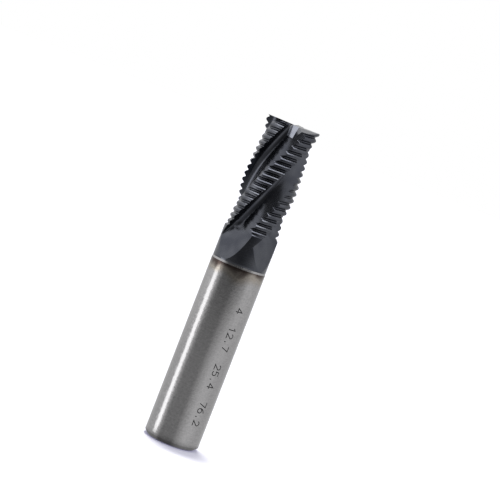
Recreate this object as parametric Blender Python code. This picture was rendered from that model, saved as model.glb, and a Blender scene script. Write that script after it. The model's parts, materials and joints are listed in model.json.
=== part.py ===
"""Roughing end mill with four flutes, ground from one rod of tungsten carbide.

The tool stands on its shank end: +Z runs along its axis to the cutting end, and the
origin is the centre of the shank's end face. Lengths are in metres, angles in degrees.

The cutting end turns towards +angle, seen from above. Going that way round from a
cutting edge come the flute in front of it, which is a straight rake face, a round
gullet and the rounded back of the next tooth, then that tooth's heel and ridged land.
"""

import math

import bmesh
import bpy
from mathutils import Matrix, Vector

# The rod
OVERALL_LENGTH = 0.0762
SHANK_DIAMETER = 0.0127
SHANK_CHAMFER = 0.0009
NECK_DIAMETER = 0.0125
NECK_LENGTH = 0.0079
SHOULDER_LENGTH = 0.0005

# The teeth and their flutes
FLUTES = 4
CUTTING_DIAMETER = 0.0127
CUTTING_LENGTH = 0.0254
FLUTE_DEPTH = 0.00255
HELIX_ANGLE = 31.5
RAKE_ANGLE = 8.0
GULLET_RADIUS = 0.0014
BACK_RADIUS = 0.0068
LAND_ANGLE = 34.0
LAND_RELIEF = 0.0004
FIRST_EDGE_ANGLE = -9.5

# The chip-breaking ridges across each land, which fade out into the neck. The first crest
# is a little below the end teeth, and every other tooth's ridges are set off by this share
# of their pitch, so that each tooth cuts what the one before it left.
RIDGE_PITCH = 0.0015
RIDGE_DEPTH = 0.0006
FIRST_RIDGE_DROP = 0.0003
RIDGE_STAGGER = 0.5
RIDGE_FADE = 0.0006
VALLEY_ROUNDING = 0.04
VALLEY_MARGIN = 0.00015

# The flat that each flute runs out into, which rises down the neck to just above the
# shoulder. Its middle is this far ahead of where the cutting edge ends, goes a little
# further ahead on its way down, and the flute starts to turn into it above the ridges' end.
RUNOUT_MARGIN = 0.0003
RUNOUT_AHEAD_ANGLE = 19.0
RUNOUT_TURN = 4.0
RUNOUT_DEPTH_SHARE = 0.8
RUNOUT_LEAD = 0.0016
RUNOUT_BLEND = 0.0027
RUNOUT_BACK_SHARE = 0.5
RUNOUT_LAST_SHARE = 0.98

# The end teeth: dished towards the centre, relieved twice, with a gash before each
DISH_ANGLE = 1.5
END_RELIEF_ANGLE = 6.0
END_RELIEF_WIDTH = 0.0013
END_CLEARANCE_ANGLE = 14.0
GASH_DEPTH = 0.0003
GASH_SLOPE_ANGLE = 40.0
GASH_FLOOR_ANGLE = 10.0
GASH_WIDTH = 0.0016
GASH_WALL_ANGLE = 50.0
LONG_TOOTH_START = -0.0002
SHORT_TOOTH_START = 0.0009
END_WEB = 0.0003

# How finely the surfaces are faceted
RING_FACETS = 64
RIDGE_STEPS = 8
VALLEY_STEPS = 4
FLUTE_STEPS = 2
LAND_STRIPS = 4
NECK_LAND_STRIPS = 8
GULLET_STRIPS = 5
BACK_STRIPS = 3
RUNOUT_STEPS = 10
SMOOTH_ANGLE = 28.0

SHANK_RADIUS = SHANK_DIAMETER / 2
NECK_RADIUS = NECK_DIAMETER / 2
EDGE_RADIUS = CUTTING_DIAMETER / 2
CORE_RADIUS = EDGE_RADIUS - FLUTE_DEPTH
WIDEST_RADIUS = max(EDGE_RADIUS, NECK_RADIUS)
RIDGES_END = OVERALL_LENGTH - CUTTING_LENGTH
RIDGES_FADED = RIDGES_END - RIDGE_FADE
SHOULDER_TOP = RIDGES_END - NECK_LENGTH
SHOULDER_FOOT = SHOULDER_TOP - SHOULDER_LENGTH
RUNOUT_LENGTH = NECK_LENGTH - RUNOUT_MARGIN
SECTOR = math.tau / FLUTES
HEEL_ANGLE = SECTOR - math.radians(LAND_ANGLE)
TWIST = math.tan(math.radians(HELIX_ANGLE)) / EDGE_RADIUS
OVERLAP = 0.0003
ROUGH_TOP = OVERALL_LENGTH + OVERLAP
CENTRE = Vector((0.0, 0.0))

# Places across a flute: the top and foot of its rake face, then the foot and top of the
# back. The edge and the heel are looked for outside the middle of the gullet. In the
# runout, the first point past the edge is at least this share of the way to the back. A
# cutting edge counts as its own tooth's up to this share of a sector past it.
RAKE_TOP = 0.0
RAKE_FOOT = 1.0
GULLET_MIDDLE = 1.5
BACK_FOOT = 2.0
BACK_TOP = 3.0
PAST_EDGE_SHARE = 0.15
HALVINGS = 40
EDGE_SLACK = 0.05


def clear_scene():
    for old in list(bpy.data.objects):
        bpy.data.objects.remove(old, do_unlink=True)


def soft_step(value):
    """0 up to 0, 1 from 1 on, and a soft S between them."""
    value = min(max(value, 0.0), 1.0)
    return value * value * (3.0 - 2.0 * value)


def mix(first, second, share):
    return first + (second - first) * share


def turned(point, angle):
    """A point of the cross-section turned about the axis."""
    return Matrix.Rotation(angle, 2) @ point


def polar(radius, angle):
    return Vector((radius * math.cos(angle), radius * math.sin(angle)))


def arc_point(centre, start, end, share):
    """A point of the arc about a centre from start to end, by the short way round."""
    sweep = math.remainder(
        math.atan2(*(end - centre).yx) - math.atan2(*(start - centre).yx), math.tau)
    return centre + turned(start - centre, sweep * share)


def circles_meet(first, first_radius, second, second_radius):
    """Where two circles cross, to the left of the line from the first centre to the second."""
    between = second - first
    distance = between.length
    along = (first_radius**2 - second_radius**2 + distance**2) / (2.0 * distance)
    aside = math.sqrt(max(first_radius**2 - along**2, 0.0))
    ahead = between / distance
    return first + ahead * along + Vector((-ahead.y, ahead.x)) * aside


class FluteSection:
    """One flute cut square to the axis, in front of a cutting edge at angle 0.

    A place on it runs down the rake face, round the gullet and up the back of the next
    tooth, and both ends are a little past the tool's outside.
    """

    def __init__(self):
        rake = math.radians(RAKE_ANGLE)
        edge = polar(EDGE_RADIUS, 0.0)
        inward = -polar(1.0, rake)
        self.inward = inward
        self.rake_top = edge - inward * (WIDEST_RADIUS - EDGE_RADIUS + OVERLAP)
        beside = edge + turned(polar(GULLET_RADIUS, rake), math.pi / 2)
        down = -beside.dot(inward)
        reach = (CORE_RADIUS + GULLET_RADIUS) ** 2 - beside.length_squared + down**2
        down -= math.sqrt(max(reach, 0.0))
        self.gullet_centre = beside + inward * down
        self.rake_foot = edge + inward * down
        heel = polar(EDGE_RADIUS - LAND_RELIEF, HEEL_ANGLE)
        self.back_centre = circles_meet(
            self.gullet_centre, GULLET_RADIUS + BACK_RADIUS, heel, BACK_RADIUS)
        to_back = (self.back_centre - self.gullet_centre).normalized()
        self.back_foot = self.gullet_centre + to_back * GULLET_RADIUS
        self.back_top = circles_meet(
            self.back_centre, BACK_RADIUS, CENTRE, WIDEST_RADIUS + OVERLAP)

    def point(self, place):
        if place < RAKE_FOOT:
            return self.rake_top.lerp(self.rake_foot, place)
        if place < BACK_FOOT:
            return arc_point(
                self.gullet_centre, self.rake_foot, self.back_foot, place - RAKE_FOOT)
        return arc_point(self.back_centre, self.back_foot, self.back_top, place - BACK_FOOT)


FLUTE = FluteSection()


def edge_turn(z):
    """Angle of the first cutting edge, and of the line that it would follow down the neck."""
    return math.radians(FIRST_EDGE_ANGLE) + TWIST * (z - OVERALL_LENGTH)


def runout_share(z):
    """How far down its runout a flute is: 0 where the ridges end, and 1 where it has closed."""
    share = (RIDGES_END - z) / RUNOUT_LENGTH
    return min(max(share, -RUNOUT_LEAD / RUNOUT_LENGTH), RUNOUT_LAST_SHARE)


def runout_point(z, place):
    """A point of the runout at a height, on the same places as the flute.

    It goes down what is left of the rake face and then across the flat. Further down, the
    rake face has ended and the flat starts at the outside of the neck.
    """
    share = runout_share(z)
    depth = (NECK_RADIUS - CORE_RADIUS) * RUNOUT_DEPTH_SHARE * (1.0 - share)
    ahead = math.radians(RUNOUT_AHEAD_ANGLE + RUNOUT_TURN * share) + TWIST * (RIDGES_END - z)
    middle = polar(NECK_RADIUS - depth, ahead)
    along = polar(1.0, ahead + math.pi / 2.0)
    half = along * math.sqrt(NECK_RADIUS**2 - middle.length_squared)
    reach = along * math.sqrt((WIDEST_RADIUS + OVERLAP) ** 2 - middle.length_squared)
    if ahead < math.acos(1.0 - depth / NECK_RADIUS):
        top = FLUTE.rake_top
        down = (middle.length_squared - top.dot(middle)) / FLUTE.inward.dot(middle)
        foot = top + FLUTE.inward * down
    else:
        top = middle - reach
        foot = middle - half
    back = middle + half * RUNOUT_BACK_SHARE
    if place < RAKE_FOOT:
        return top.lerp(foot, place)
    if place < BACK_FOOT:
        return foot.lerp(back, place - RAKE_FOOT)
    return back.lerp(middle + reach, place - BACK_FOOT)


def groove_point(z, place):
    """A point of the flute or of its runout at a height, with the cutting edge at angle 0."""
    blend = soft_step((RIDGES_END + RUNOUT_LEAD - z) / RUNOUT_BLEND)
    return FLUTE.point(place).lerp(runout_point(z, place), blend)


def place_at_radius(z, radius, outer):
    """The place where the groove comes up to a radius, on the side of its outer end given."""
    inner = GULLET_MIDDLE
    for _ in range(HALVINGS):
        middle = (outer + inner) / 2.0
        if groove_point(z, middle).length > radius:
            outer = middle
        else:
            inner = middle
    return (outer + inner) / 2.0


def tooth_at(z, angle):
    """The number of the tooth whose land is at an angle, its cutting edge included."""
    return math.ceil((angle - edge_turn(z)) / SECTOR - EDGE_SLACK) % FLUTES


def ridge_phase(z, angle):
    """Counts the ridges: turns of a right-hand thread, set off on every other tooth."""
    height = z - OVERALL_LENGTH + FIRST_RIDGE_DROP
    return height / RIDGE_PITCH - angle / math.tau + RIDGE_STAGGER * (tooth_at(z, angle) % 2)


def ridge_share(z):
    """1 where the ridges have their full depth and 0 where the land has become the neck."""
    return 1.0 - soft_step((RIDGES_END - z) / RIDGE_FADE)


def crest_radius(z, behind):
    """Radius of a land's crests, where behind is 0 at the cutting edge and 1 at the heel."""
    return mix(NECK_RADIUS, EDGE_RADIUS - LAND_RELIEF * behind, ridge_share(z))


def valley_radius(z, behind):
    return crest_radius(z, behind) - RIDGE_DEPTH * ridge_share(z)


def land_radius(z, angle, behind):
    crest = math.sqrt(1.0 + VALLEY_ROUNDING)
    valley = math.sqrt(VALLEY_ROUNDING)
    wave = math.sqrt(math.cos(math.pi * ridge_phase(z, angle)) ** 2 + VALLEY_ROUNDING)
    share = (crest - wave) / (crest - valley)
    return mix(crest_radius(z, behind), valley_radius(z, behind), share)


def land_point(z, angle, behind):
    return polar(land_radius(z, angle, behind), angle)


def edge_place(z, angle):
    """Where the rake face of the tooth at an angle meets its land: the cutting edge."""
    return place_at_radius(z, land_radius(z, angle, 0.0), RAKE_TOP)


def heel_place(z, angle):
    """Where the flute ahead of the tooth at an angle meets the heel of the next one."""
    return place_at_radius(z, land_radius(z, angle + HEEL_ANGLE, 1.0), BACK_TOP)


def below_ridges(z):
    """The places on the rake face and on the back just below the deepest ridge valleys."""
    first = place_at_radius(z, valley_radius(z, 0.0) - VALLEY_MARGIN, RAKE_TOP)
    last = place_at_radius(z, valley_radius(z, 1.0) - VALLEY_MARGIN, BACK_TOP)
    return max(first, RAKE_FOOT), last


def flute_places(first, last):
    """Places at even steps round the gullet and then up the back."""
    gullet = [mix(first, BACK_FOOT, step / GULLET_STRIPS) for step in range(GULLET_STRIPS)]
    back = [mix(BACK_FOOT, last, step / BACK_STRIPS) for step in range(BACK_STRIPS + 1)]
    return gullet + back


def heel_angle(z):
    """How far the heel's crests lie ahead of the cutting edge at a height."""
    flat = groove_point(z, place_at_radius(z, crest_radius(z, 1.0), BACK_TOP))
    return math.atan2(flat.y, flat.x)


def add_point(mesh, flat, z):
    return mesh.verts.new((flat.x, flat.y, z))


def zip_rows(mesh, left, right):
    """Triangles between two rows of (key, vertex), which share their first and last keys."""
    left_keys, left = zip(*left)
    right_keys, right = zip(*right)
    i = j = 0
    while i < len(left) - 1 or j < len(right) - 1:
        left_is_next = j == len(right) - 1
        if i < len(left) - 1 and not left_is_next:
            left_middle = left_keys[i] + left_keys[i + 1]
            left_is_next = left_middle <= right_keys[j] + right_keys[j + 1]
        if left_is_next:
            mesh.faces.new((left[i], right[j], left[i + 1]))
            i += 1
        else:
            mesh.faces.new((left[i], right[j], right[j + 1]))
            j += 1


def even_heights(step):
    """Heights down a flute, from the top to where the ridges have faded."""
    count = max(round((ROUGH_TOP - RIDGES_FADED) / step), 1)
    return [mix(RIDGES_FADED, ROUGH_TOP, index / count) for index in range(count + 1)]


def ridge_heights(angle_at_tip, steps):
    """Heights up a land at equal steps of its ridges, so that each crest gets its own point."""
    rate = 1.0 / RIDGE_PITCH - TWIST / math.tau
    step = 1.0 / (rate * steps)
    phase = ridge_phase(OVERALL_LENGTH, angle_at_tip) * steps
    z = OVERALL_LENGTH + (math.ceil(phase) - phase) * step
    heights = [ROUGH_TOP]
    while z > RIDGES_FADED + step / 3.0:
        if z < ROUGH_TOP - step / 3.0:
            heights.append(z)
        z -= step
    return [RIDGES_FADED] + heights[::-1][:-1] + [ROUGH_TOP]


def toothed_chains(mesh, sector):
    """The chains up one flute and the land beyond it, in order of angle."""
    sector_angle = sector * SECTOR
    tip_angle = math.radians(FIRST_EDGE_ANGLE) + sector_angle
    flute_heights = even_heights(RIDGE_PITCH / FLUTE_STEPS)
    chains = []

    def chain_up(heights, flat_point):
        chains.append([(z, add_point(mesh, flat_point(z), z)) for z in heights])

    def flute_chain(heights, place_at):
        chain_up(heights, lambda z: turned(groove_point(z, place_at(z)),
                                           edge_turn(z) + sector_angle))

    flute_chain(ridge_heights(tip_angle, RIDGE_STEPS),
                lambda z: edge_place(z, edge_turn(z) + sector_angle))
    for index in range(GULLET_STRIPS + BACK_STRIPS):
        flute_chain(flute_heights, lambda z: flute_places(*below_ridges(z))[index])
    flute_chain(ridge_heights(tip_angle + HEEL_ANGLE, VALLEY_STEPS), lambda z: below_ridges(z)[1])
    flute_chain(ridge_heights(tip_angle + HEEL_ANGLE, RIDGE_STEPS),
                lambda z: heel_place(z, edge_turn(z) + sector_angle))
    for strip in range(1, LAND_STRIPS):
        share = strip / LAND_STRIPS
        start = tip_angle + mix(HEEL_ANGLE, SECTOR, share)
        chain_up(ridge_heights(start, RIDGE_STEPS),
                 lambda z: land_point(z, edge_turn(z) + sector_angle
                                      + mix(heel_angle(z), SECTOR, share), 1.0 - share))
    return chains


def neck_ring(mesh, z):
    """One ring of vertices round the neck, down into each flute's runout."""
    ring = []
    for sector in range(FLUTES):
        angle = edge_turn(z) + sector * SECTOR
        first_place = edge_place(z, angle)
        first = groove_point(z, first_place)
        last_place = heel_place(z, angle)
        last = groove_point(z, last_place)
        points = [turned(first, angle)]
        past_edge = max(RAKE_FOOT, mix(first_place, BACK_FOOT, PAST_EDGE_SHARE))
        below_heel = mix(BACK_FOOT, last_place, BACK_STRIPS / (BACK_STRIPS + 1))
        for place in flute_places(past_edge, below_heel):
            points.append(turned(groove_point(z, place), angle))
        points.append(turned(last, angle))
        edge = angle + math.atan2(first.y, first.x) + SECTOR
        heel = angle + math.atan2(last.y, last.x)
        for strip in range(1, NECK_LAND_STRIPS):
            share = strip / NECK_LAND_STRIPS
            points.append(land_point(z, mix(heel, edge, share), 1.0 - share))
        ring.extend(add_point(mesh, point, z) for point in points)
    return ring


def sector_keys(land_strips):
    """Keys round a ring that has this many strips on each land, the same for any count there."""
    flute_strips = GULLET_STRIPS + BACK_STRIPS + 2
    shares = [index / (2 * flute_strips) for index in range(flute_strips)]
    shares += [0.5 + index / (2 * land_strips) for index in range(land_strips)]
    return [sector + share for sector in range(FLUTES) for share in shares]


def turn_keys(ring):
    """Keys of a plain ring: how far round each vertex lies from where the ring starts."""
    angles = [math.atan2(vertex.co.y, vertex.co.x) for vertex in ring]
    return [(angle - angles[0]) % math.tau / SECTOR for angle in angles]


def closing_ring(mesh, last_ring):
    """The ring at the shoulder, where every runout has come up to the neck's own radius."""
    return [add_point(mesh, vertex.co.xy.normalized() * NECK_RADIUS, SHOULDER_TOP)
            for vertex in last_ring]


def shank_ring(mesh, z, radius, first_facet):
    step = math.tau / RING_FACETS
    return [add_point(mesh, polar(radius, (first_facet + index) * step), z)
            for index in range(RING_FACETS)]


def zip_rings(mesh, upper, upper_keys, lower, lower_keys):
    upper_row = list(zip(upper_keys, upper)) + [(FLUTES, upper[0])]
    lower_row = list(zip(lower_keys, lower)) + [(FLUTES, lower[0])]
    zip_rows(mesh, upper_row, lower_row)


def rough_body(name):
    """The whole tool but for its end teeth, and a little over length."""
    mesh = bmesh.new()
    chains = []
    for sector in range(FLUTES):
        chains.extend(toothed_chains(mesh, sector))
    for left, right in zip(chains, chains[1:] + chains[:1]):
        zip_rows(mesh, right, left)
    mesh.faces.new([chain[-1][1] for chain in chains])

    ring = [chain[0][1] for chain in chains]
    keys = sector_keys(LAND_STRIPS)
    neck_keys = sector_keys(NECK_LAND_STRIPS)
    neck_top = RIDGES_FADED - RIDGE_PITCH / RIDGE_STEPS
    neck_foot = RIDGES_END - RUNOUT_LENGTH * RUNOUT_LAST_SHARE
    for step in range(RUNOUT_STEPS + 1):
        share = math.sin(math.pi / 2.0 * step / RUNOUT_STEPS)
        lower = neck_ring(mesh, mix(neck_top, neck_foot, share))
        zip_rings(mesh, ring, keys, lower, neck_keys)
        ring = lower
        keys = neck_keys
    lower = closing_ring(mesh, ring)
    zip_rings(mesh, ring, keys, lower, keys)

    start = math.atan2(lower[0].co.y, lower[0].co.x)
    first_facet = round(start / math.tau * RING_FACETS)
    for z, radius in ((SHOULDER_FOOT, SHANK_RADIUS), (SHANK_CHAMFER, SHANK_RADIUS),
                      (0.0, SHANK_RADIUS - SHANK_CHAMFER)):
        ring = lower
        lower = shank_ring(mesh, z, radius, first_facet)
        zip_rings(mesh, ring, turn_keys(ring), lower, turn_keys(lower))
    mesh.faces.new(lower[::-1])

    bmesh.ops.recalc_face_normals(mesh, faces=mesh.faces)
    data = bpy.data.meshes.new(name)
    mesh.to_mesh(data)
    mesh.free()
    return data


def wedge(name, frame_angle, planes):
    """What lies in front of all of some planes near the tool's end, as a hidden cutter.

    Each plane is a point and a normal, with x along the end tooth's cutting edge, y ahead
    of it and z up from its corner.
    """
    mesh = bmesh.new()
    bmesh.ops.create_cube(mesh, size=4.0 * CUTTING_DIAMETER)
    for point, normal in planes:
        cut = bmesh.ops.bisect_plane(
            mesh, geom=mesh.verts[:] + mesh.edges[:] + mesh.faces[:],
            plane_co=point, plane_no=normal, clear_inner=True)
        rim = [part for part in cut["geom_cut"] if isinstance(part, bmesh.types.BMEdge)]
        bmesh.ops.contextual_create(mesh, geom=rim)
    bmesh.ops.recalc_face_normals(mesh, faces=mesh.faces)
    data = bpy.data.meshes.new(name)
    mesh.to_mesh(data)
    mesh.free()
    cutter = bpy.data.objects.new(name, data)
    cutter.location.z = OVERALL_LENGTH
    cutter.rotation_euler.z = frame_angle
    cutter.hide_render = True
    cutter.display_type = "WIRE"
    return cutter


def facing_normal(outward_slope, ahead_slope):
    """The upward normal of a plane from its rise per length along the edge and ahead of it."""
    return Vector((-outward_slope, -ahead_slope, 1.0))


def end_tooth_cutters(sector):
    """The end relief behind one tooth, its clearance, and the gash in front of it."""
    corner = Vector((EDGE_RADIUS, 0.0, 0.0))
    start = SHORT_TOOTH_START if sector % 2 else LONG_TOOTH_START
    dish = math.tan(math.radians(DISH_ANGLE))
    behind = (Vector((0.0, OVERLAP, 0.0)), Vector((0.0, -1.0, 0.0)))
    inside = (Vector((min(start, OVERLAP), 0.0, 0.0)), Vector((1.0, 0.0, 0.0)))
    angle = math.radians(FIRST_EDGE_ANGLE) + sector * SECTOR

    relief = math.tan(math.radians(END_RELIEF_ANGLE))
    relief_planes = [behind, inside, (corner, facing_normal(dish, relief))]

    clearance = math.tan(math.radians(END_CLEARANCE_ANGLE))
    relief_end = corner - Vector((0.0, END_RELIEF_WIDTH, END_RELIEF_WIDTH * relief))
    clearance_planes = [behind, inside, (relief_end, facing_normal(dish, clearance))]

    slope = math.tan(math.radians(GASH_SLOPE_ANGLE))
    floor = math.tan(math.radians(GASH_FLOOR_ANGLE))
    wall = math.tan(math.radians(GASH_WALL_ANGLE))
    gash_start = Vector((start, 0.0, -GASH_DEPTH))
    wall_foot = gash_start + Vector((0.0, GASH_WIDTH, GASH_WIDTH * floor))
    gash_planes = [
        (Vector((0.0, END_WEB / 2.0, 0.0)), Vector((0.0, 1.0, 0.0))),
        (gash_start, facing_normal(-slope, floor)),
        (wall_foot, facing_normal(-slope, wall)),
    ]
    return [
        wedge(f"end_relief_cutter_{sector + 1}", angle, relief_planes),
        wedge(f"end_clearance_cutter_{sector + 1}", angle, clearance_planes),
        wedge(f"gash_cutter_{sector + 1}", angle, gash_planes),
    ]


def carbide():
    material = bpy.data.materials.new("dark coated carbide")
    material.use_nodes = True
    surface = material.node_tree.nodes["Principled BSDF"]
    surface.inputs["Base Color"].default_value = (0.035, 0.038, 0.045, 1.0)
    surface.inputs["Roughness"].default_value = 0.35
    surface.inputs["Metallic"].default_value = 1.0
    return material


def build():
    clear_scene()
    body = bpy.data.objects.new("end_mill", rough_body("end_mill"))
    bpy.context.scene.collection.objects.link(body)
    body.data.materials.append(carbide())

    cutters = bpy.data.collections.new("end_cutters")
    bpy.context.scene.collection.children.link(cutters)
    for sector in range(FLUTES):
        for cutter in end_tooth_cutters(sector):
            cutters.objects.link(cutter)
    grind = body.modifiers.new("end_teeth", "BOOLEAN")
    grind.operation = "DIFFERENCE"
    grind.operand_type = "COLLECTION"
    grind.collection = cutters
    grind.solver = "EXACT"

    body.data.shade_smooth()
    body.data.set_sharp_from_angle(angle=math.radians(SMOOTH_ANGLE))


build()
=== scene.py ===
"""The look of the roughing end mill, laid out as an add-on and run as a script.

The tool stands on its shank end, with its axis on Z and the origin in the middle of that
end. Lengths are in metres. A point of a cross-section is a complex number, x + y * 1j, and
angles run anticlockwise seen from above, the way that the tool turns when it cuts.
"""

import json
import math

import bmesh
import bpy
import numpy as np
from bpy.props import (FloatProperty, FloatVectorProperty, IntProperty, PointerProperty,
                       StringProperty)
from mathutils import Matrix, Vector

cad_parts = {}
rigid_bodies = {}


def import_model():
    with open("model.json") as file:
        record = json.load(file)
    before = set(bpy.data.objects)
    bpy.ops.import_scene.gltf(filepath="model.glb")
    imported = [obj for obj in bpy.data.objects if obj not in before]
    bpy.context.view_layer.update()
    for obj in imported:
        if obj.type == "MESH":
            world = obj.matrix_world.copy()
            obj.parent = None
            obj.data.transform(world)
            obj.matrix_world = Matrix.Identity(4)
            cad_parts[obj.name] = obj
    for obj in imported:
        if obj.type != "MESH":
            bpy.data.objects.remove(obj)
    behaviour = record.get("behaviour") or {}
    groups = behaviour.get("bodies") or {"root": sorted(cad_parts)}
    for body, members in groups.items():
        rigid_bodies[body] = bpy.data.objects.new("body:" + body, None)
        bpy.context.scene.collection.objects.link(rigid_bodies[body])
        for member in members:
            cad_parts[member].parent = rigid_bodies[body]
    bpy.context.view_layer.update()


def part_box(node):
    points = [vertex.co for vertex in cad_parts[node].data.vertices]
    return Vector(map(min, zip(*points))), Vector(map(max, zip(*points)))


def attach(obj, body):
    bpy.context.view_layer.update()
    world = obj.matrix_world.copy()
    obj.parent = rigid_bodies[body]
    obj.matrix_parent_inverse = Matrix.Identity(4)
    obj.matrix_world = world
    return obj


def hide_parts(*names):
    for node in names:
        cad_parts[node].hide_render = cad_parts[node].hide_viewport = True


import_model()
LOWEST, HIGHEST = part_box("end_mill")

bl_info = {
    "name": "Roughing End Mill",
    "version": (1, 0, 0),
    "blender": (4, 5, 0),
    "location": "3D View > Sidebar > End Mill",
    "description": "Makes a carbide roughing end mill with a coated cutting end",
    "category": "Object",
}

# The chip-breaking ridges fade out into the neck over this length. The first crest is a
# little below the end teeth, and every other tooth's ridges are set off by this share of
# their pitch.
RIDGE_FADE = 0.0006
FIRST_RIDGE_DROP = 0.0003
RIDGE_STAGGER = 0.5
VALLEY_ROUNDING = 0.04

# The flat that each flute runs out into, which rises down the neck to just above the
# shoulder. Its middle is this far ahead of where the cutting edge ends, goes a little
# further ahead on its way down, and the flute starts to turn into it above the ridges' end.
RUNOUT_MARGIN = 0.0003
RUNOUT_AHEAD_ANGLE = math.radians(19.0)
RUNOUT_TURN = math.radians(4.0)
RUNOUT_DEPTH_SHARE = 0.8
RUNOUT_LEAD = 0.0016
RUNOUT_BLEND = 0.0027
RUNOUT_BACK_SHARE = 0.5
RUNOUT_LAST_SHARE = 0.98

# The end teeth: dished towards the centre, relieved twice, with a gash before each
DISH_SLOPE = math.tan(math.radians(1.5))
END_RELIEF_SLOPE = math.tan(math.radians(6.0))
END_RELIEF_WIDTH = 0.0013
END_CLEARANCE_SLOPE = math.tan(math.radians(14.0))
GASH_DEPTH = 0.0003
GASH_SLOPE = math.tan(math.radians(40.0))
GASH_FLOOR_SLOPE = math.tan(math.radians(10.0))
GASH_WIDTH = 0.0016
GASH_WALL_SLOPE = math.tan(math.radians(50.0))
LONG_TOOTH_START = -0.0002
SHORT_TOOTH_START = 0.0009
END_WEB = 0.0003

# How finely the surfaces are drawn
RIDGE_STEPS = 22
NECK_ROWS = 56
RAKE_STRIPS = 3
GULLET_STRIPS = 9
BACK_STRIPS = 8
LAND_STRIPS = 10
SHANK_FACETS = 192
CORNER_STEPS = 3
EDGE_ROUNDING = 0.00008
HALVINGS = 32
BORDER_ROUNDS = 4
# Surfaces run this far past where they are cut off or go into another piece.
OVERLAP = 0.0003
# A cutting edge counts as its own tooth's up to this share of a sector past it.
EDGE_SLACK = 0.05
# The blocks that the end teeth are cut with are this many times the cutting radius.
CUTTER_SIZE = 8.0
# Ground surfaces that meet at more than this angle have a sharp edge between them.
CRISP_ANGLE = math.radians(4.0)

# Places across a flute: the top and foot of its rake face, then the foot and top of its back
RAKE_TOP = 0.0
RAKE_FOOT = 1.0
GULLET_MIDDLE = 1.5
BACK_FOOT = 2.0
BACK_TOP = 3.0

# A Mix node's colour sockets, which share their names with its other kinds of socket
COLOUR_A = 6
COLOUR_B = 7
COLOUR_OUT = 2


def linear(hex_colour):
    """The linear colour of an sRGB hex value."""
    channels = [int(hex_colour[i:i + 2], 16) / 255.0 for i in (1, 3, 5)]
    return tuple(c / 12.92 if c <= 0.04045 else ((c + 0.055) / 1.055) ** 2.4
                 for c in channels)


def length_property(name, description, default, smallest, digits=4):
    return FloatProperty(name=name, description=description, default=default, min=smallest,
                         unit="LENGTH", precision=digits)


def angle_property(name, description, degrees):
    return FloatProperty(name=name, description=description, default=math.radians(degrees),
                         subtype="ANGLE")


def colour_property(name, description, hex_colour):
    return FloatVectorProperty(name=name, description=description, default=linear(hex_colour),
                               size=3, min=0.0, max=1.0, subtype="COLOR")


def level_property(name, description, default):
    return FloatProperty(name=name, description=description, default=default, min=0.0)


class ToolSizes(bpy.types.PropertyGroup):
    overall_length: length_property(
        "Overall Length", "Length from the shank's end to the end teeth",
        HIGHEST.z - LOWEST.z, 0.02)
    shank_diameter: length_property(
        "Shank Diameter", "Diameter of the ground shank", HIGHEST.x - LOWEST.x, 0.002)
    shank_chamfer: length_property(
        "Shank Chamfer", "Width and height of the chamfer at the shank's end", 0.0009, 0.0001)
    neck_diameter: length_property(
        "Neck Diameter", "Diameter between the ridges and the shank", 0.0125, 0.002)
    neck_length: length_property(
        "Neck Length", "Length between the ridges and the shoulder", 0.0079, 0.002)
    shoulder_length: length_property(
        "Shoulder Length", "Length of the taper from the neck to the shank", 0.0005, 0.0001)
    flutes: IntProperty(
        name="Flutes", description="Number of flutes and cutting edges", default=4, min=2, max=8)
    cutting_diameter: length_property(
        "Cutting Diameter", "Diameter over the crests of the ridges", 0.0127, 0.002)
    cutting_length: length_property(
        "Cutting Length", "Length of the ridged cutting edges", 0.0254, 0.004)
    flute_depth: length_property(
        "Flute Depth", "Depth of the flutes below the cutting edges", 0.00255, 0.0005)
    helix_angle: angle_property(
        "Helix Angle", "Angle between a cutting edge and the axis", 31.5)
    rake_angle: angle_property(
        "Rake Angle", "Angle of the rake face at the cutting edge", 8.0)
    gullet_radius: length_property(
        "Gullet Radius", "Radius at the bottom of a flute", 0.0014, 0.0002)
    back_radius: length_property(
        "Back Radius", "Radius of a tooth's rounded back", 0.0068, 0.0005)
    land_angle: angle_property(
        "Land Angle", "Angle round the axis that a ridged land takes", 34.0)
    land_relief: length_property(
        "Land Relief", "How much lower a land's heel is than its edge", 0.0004, 0.0)
    first_edge_angle: angle_property(
        "First Edge Angle", "Angle of the first cutting edge at the tip", -9.5)
    ridge_pitch: length_property(
        "Ridge Pitch", "Distance from one ridge to the next", 0.0015, 0.0003)
    ridge_depth: length_property(
        "Ridge Depth", "Depth of the valleys between the ridges", 0.0006, 0.0)


class ToolFinish(bpy.types.PropertyGroup):
    coating: colour_property("Coating", "Colour of the dark hard coating", "#53555B")
    coating_shade: colour_property(
        "Coating Shade", "Colour of the coating where it came out darker", "#46484F")
    carbide: colour_property("Bare Carbide", "Colour of the ground shank", "#A2A1A2")
    tint_dark: colour_property(
        "Dark Tint", "Colour of the thin coating just below the shoulder", "#473D3A")
    tint_gold: colour_property(
        "Gold Tint", "Colour of the thinnest coating, before it ends", "#98928B")
    tint_length: length_property(
        "Tint Length", "How far the thin coating runs down the shank", 0.0032, 0.0001)
    marking: colour_property("Marking", "Colour of the laser-marked numbers", "#303032")


class SizeMarking(bpy.types.PropertyGroup):
    numbers: StringProperty(
        name="Numbers", description="The flutes, then the tool's sizes in millimetres",
        default="4  12.7  25.4  76.2")
    height: length_property("Height", "Height of the numbers", 0.0017, 0.0005)
    advance: length_property(
        "Advance", "Distance from one number's start to the next", 0.00149, 0.0004)
    stroke: length_property("Stroke", "Width of the marked line", 0.0002, 0.00005, 5)
    start: length_property(
        "Start", "Height above the shank's end where the numbers start", 0.0341, 0.0)
    angle: angle_property("Angle", "Angle round the shank of the numbers' middle", -52.3)


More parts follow.
